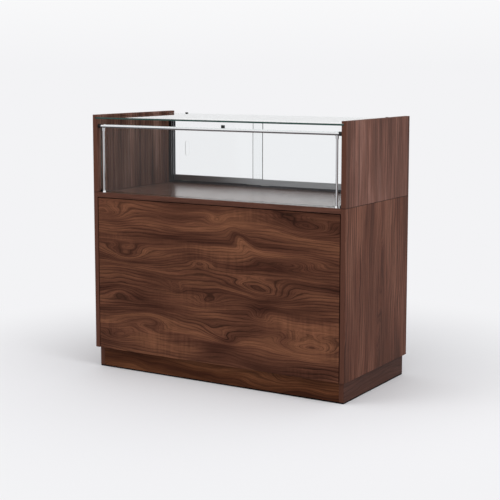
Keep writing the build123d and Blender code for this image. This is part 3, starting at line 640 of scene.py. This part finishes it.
def add_piece(name, form, finishes, body):
    """Makes an object of a bmesh, and lets it ride on a body."""
    mesh = bpy.data.meshes.new(name)
    form.to_mesh(mesh)
    form.free()
    for finish in finishes:
        mesh.materials.append(finish)
    made = bpy.data.objects.new(name, mesh)
    bpy.context.scene.collection.objects.link(made)
    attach(made, body)
    return made


def join_rings(form, rings, closed, finish=0):
    """Faces between neighbouring rings of points, each ring a closed loop."""
    pairs = list(zip(rings, rings[1:]))
    if closed:
        pairs.append((rings[-1], rings[0]))
    for lower, upper in pairs:
        for k in range(len(lower)):
            after = (k + 1) % len(lower)
            face = form.faces.new((lower[k], lower[after], upper[after], upper[k]))
            face.material_index = finish


def add_screw(form, place, facing, radius, height, turn):
    """A domed screw head with a cross recess, seated at place and looking towards facing."""
    aim = Vector(facing).to_track_quat("Z", "Y").to_matrix().to_4x4()
    frame_of_head = Matrix.Translation(place) @ aim @ Matrix.Rotation(turn, 4, "Z")
    cross = [recess_arm if step % 8 in (0, 1, 7) else recess_waist for step in range(screw_steps)]
    levels = [([share] * screw_steps, level) for share, level in screw_profile]
    levels += [(cross, 1.0), ([recess_floor_share * share for share in cross], recess_floor_level)]
    rings = []
    for shares, level in levels:
        ring = []
        for step, share in enumerate(shares):
            angle = 2 * math.pi * step / screw_steps
            point = (radius * share * math.cos(angle), radius * share * math.sin(angle), height * level)
            ring.append(form.verts.new(frame_of_head @ Vector(point)))
        rings.append(ring)
    join_rings(form, rings[:5], False)
    # The recess faces take the second finish, painted shade in the cross.
    join_rings(form, rings[4:], False, finish=1)
    form.faces.new(rings[-1]).material_index = 1


def make_hinge_screws():
    side_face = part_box("base_side_right")[0].x
    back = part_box("base_side_right")[1].y
    low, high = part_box("hinge_frame_leaves")
    middles = (low.z + hinge_height / 2, high.z - hinge_height / 2)
    frame_form = bmesh.new()
    for side, sign in (("left", -1), ("right", 1)):
        door_form = bmesh.new()
        door_face = max(abs(corner.x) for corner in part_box(f"base_door_{side}")) + hinge_leaf
        for number, middle in enumerate(middles):
            for rise, back_off in hinge_screw_rows:
                turn = hinge_screw_turn + hinge_screw_turn_step * number + hinge_screw_turn_rise * rise
                frame_place = (sign * (side_face - hinge_leaf), back + back_off, middle + rise)
                add_screw(frame_form, frame_place, (-sign, 0, 0), hinge_screw_radius,
                          hinge_screw_height, turn)
                door_place = (sign * door_face, back + back_off, middle + rise)
                add_screw(door_form, door_place, (sign, 0, 0), hinge_screw_radius,
                          hinge_screw_height, turn)
        add_piece(f"hinge_screws_{side}", door_form, (zinc, painted_recess_shade), f"{side}_base_door")
    add_piece("hinge_screws_frame", frame_form, (zinc, painted_recess_shade), "carcass")


def make_handle_screws():
    for side in ("left", "right"):
        low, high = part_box(f"door_handle_{side}")
        half = (high.x - low.x) / 2
        inner_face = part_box(f"base_door_{side}")[0].y
        form = bmesh.new()
        for z in (low.z + half, high.z - half):
            place = ((low.x + high.x) / 2, inner_face, z)
            add_screw(form, place, (0, -1, 0), handle_screw_radius, handle_screw_height,
                      handle_screw_turn_rise * z)
        add_piece(f"handle_screws_{side}", form, (zinc, painted_recess_shade), f"{side}_base_door")


def make_plinth_shadow_strip():
    """A near-black strip that fills the gap under the plinth: painted shadow, a dark sheet put where there
    is only the shade under the plinth.
    """
    low = Vector((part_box("plinth_side_left")[0].x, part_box("plinth_front")[0].y, 0.0))
    high = Vector((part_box("plinth_side_right")[1].x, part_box("plinth_back")[1].y, 0.0))
    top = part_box("plinth_front")[0].z
    section = [(shadow_strip_inset, top), (shadow_strip_inset, shadow_strip_clear), (shadow_strip_inset + shadow_strip_lip, shadow_strip_clear),
               (shadow_strip_inset + shadow_strip_width, top)]
    form = bmesh.new()
    rings = []
    for inset, z in section:
        corners = [(low.x + inset, low.y + inset), (high.x - inset, low.y + inset),
                   (high.x - inset, high.y - inset), (low.x + inset, high.y - inset)]
        rings.append([form.verts.new((x, y, z)) for x, y in corners])
    join_rings(form, rings, True)
    bmesh.ops.recalc_face_normals(form, faces=form.faces)
    add_piece("plinth_shadow_strip", form, (shadow_strip_black,), "carcass")


def make_deck_band():
    """The thin band of edging glued on the front edge of the deck."""
    low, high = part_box("deck")
    front = low.y - band_thickness
    section = [(low.y, low.z), (front + band_ease, low.z), (front, low.z + band_ease),
               (front, high.z - band_ease), (front + band_ease, high.z), (low.y, high.z)]
    form = bmesh.new()
    rings = [[form.verts.new((x, y, z)) for y, z in section] for x in (low.x, high.x)]
    join_rings(form, rings, False)
    for ring in rings:
        form.faces.new(ring)
    bmesh.ops.recalc_face_normals(form, faces=form.faces)
    add_piece("deck_band", form, (deck_edging,), "carcass")


def make_pin_holes():
    """Rows of spare holes for the shelf pins, above and below the pins in use, drawn as flat near-black
    discs on the board: painted shade for the inside of each hole.
    """
    low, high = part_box("shelf_pins")
    middle = (low.z + high.z) / 2
    half = (high.z - low.z) / 2
    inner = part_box("base_side_right")[0].x
    form = bmesh.new()
    for sign in (-1, 1):
        for y in (low.y + half, high.y - half):
            for step in range(-pin_hole_count, pin_hole_count + 1):
                if step == 0:
                    continue
                centre = (sign * (inner - pin_hole_proud), y, middle + step * pin_hole_step)
                place = Matrix.Translation(centre) @ Matrix.Rotation(math.radians(90), 4, "Y")
                bmesh.ops.create_circle(form, cap_ends=True, segments=pin_hole_sides,
                                        radius=pin_hole_radius, matrix=place)
    add_piece("pin_holes", form, (painted_hole_shade,), "carcass")


def make_camera():
    data = bpy.data.cameras.new("camera")
    data.lens = camera_lens
    data.sensor_width = camera_sensor
    data.shift_y = camera_shift
    camera = bpy.data.objects.new("camera", data)
    camera.location = camera_place
    camera.rotation_euler = (math.radians(90 - camera_pitch), 0.0, math.radians(camera_azimuth))
    bpy.context.scene.collection.objects.link(camera)
    bpy.context.scene.camera = camera


def make_floor():
    mesh = bpy.data.meshes.new("floor")
    corners = [(-1, -1), (1, -1), (1, 1), (-1, 1)]
    mesh.from_pydata([(x * floor_half, y * floor_half, 0.0) for x, y in corners], [], [(0, 1, 2, 3)])
    floor = bpy.data.objects.new("floor", mesh)
    bpy.context.scene.collection.objects.link(floor)
    made, g = material("studio_floor")
    place = g.add("TexCoord").outputs["Object"]
    away = g.spread(g.vector("LENGTH", place), floor_fade_start, floor_fade_end, 0.0, 1.0, smooth=True)
    matt = g.principled(shown(floor_grey), 0.75, shine=0.2)
    glow = g.add("Emission")
    glow.inputs["Color"].default_value = shown(backdrop_grey)
    seen = g.rays("Is Camera Ray", "Is Glossy Ray", "Is Transmission Ray")
    lit = g.blend(g.math("MULTIPLY", away, seen), matt, glow.outputs[0])
    # Painted reflection: glossy rays in front of the counter see an emission, dark near it and lighter
    # further off, instead of the lit floor.
    forward = g.split(place)["Y"]
    near = g.spread(forward, mirror_far_y, mirror_near_y, 0.0, 1.0, smooth=True)
    mirrored = g.add("Emission")
    g.put(mirrored.inputs["Color"], g.mix(near, shown(painted_reflection_far_grey), shown(painted_reflection_near_grey)))
    in_front = g.spread(forward, mirror_full_y, mirror_begin_y, 1.0, 0.0, smooth=True)
    g.output(g.blend(g.math("MULTIPLY", in_front, g.rays("Is Glossy Ray")), lit, mirrored.outputs[0]))
    mesh.materials.append(made)


def make_world():
    world = bpy.data.worlds.new("studio")
    world.use_nodes = True
    g = Graph(world.node_tree)
    towards = g.split(g.add("TexCoord").outputs["Generated"])
    behind = g.spread(towards["Y"], -side_blend, side_blend, 0.0, 1.0, smooth=True)
    high = g.spread(towards["Z"], 0.0, horizon_blend, 0.0, 1.0)
    backdrop = g.mix(high, shown(backdrop_grey), shown(backdrop_high_grey))
    mirrored = g.mix(behind, shown(front_of_studio_grey), backdrop)
    seen = g.add("Background")
    g.put(seen.inputs["Color"], g.mix(g.rays("Is Glossy Ray"), backdrop, mirrored))
    light = g.add("Background")
    light.inputs["Color"].default_value = shown((255, 255, 255))
    light.inputs["Strength"].default_value = sky_strength
    picture = g.rays("Is Camera Ray", "Is Glossy Ray", "Is Transmission Ray")
    mixed = g.blend(picture, light.outputs[0], seen.outputs[0])
    g.put(g.add("OutputWorld").inputs["Surface"], mixed)
    bpy.context.scene.world = world


def make_lamp(name, place, target, size, power):
    data = bpy.data.lights.new(name, "AREA")
    data.shape = "RECTANGLE"
    data.size, data.size_y = size
    data.energy = power
    lamp = bpy.data.objects.new(name, data)
    lamp.location = place
    direction = Vector(target) - Vector(place)
    lamp.rotation_euler = direction.to_track_quat("-Z", "Y").to_euler()
    lamp.visible_camera = False
    lamp.visible_glossy = False
    lamp.visible_transmission = False
    bpy.context.scene.collection.objects.link(lamp)


make_camera()
make_world()
make_floor()
for lamp_row in lamp_rows:
    make_lamp(*lamp_row)
dress()
make_hinge_screws()
make_handle_screws()
make_plinth_shadow_strip()
make_deck_band()
make_pin_holes()

bpy.context.scene.view_settings.view_transform = "Standard"
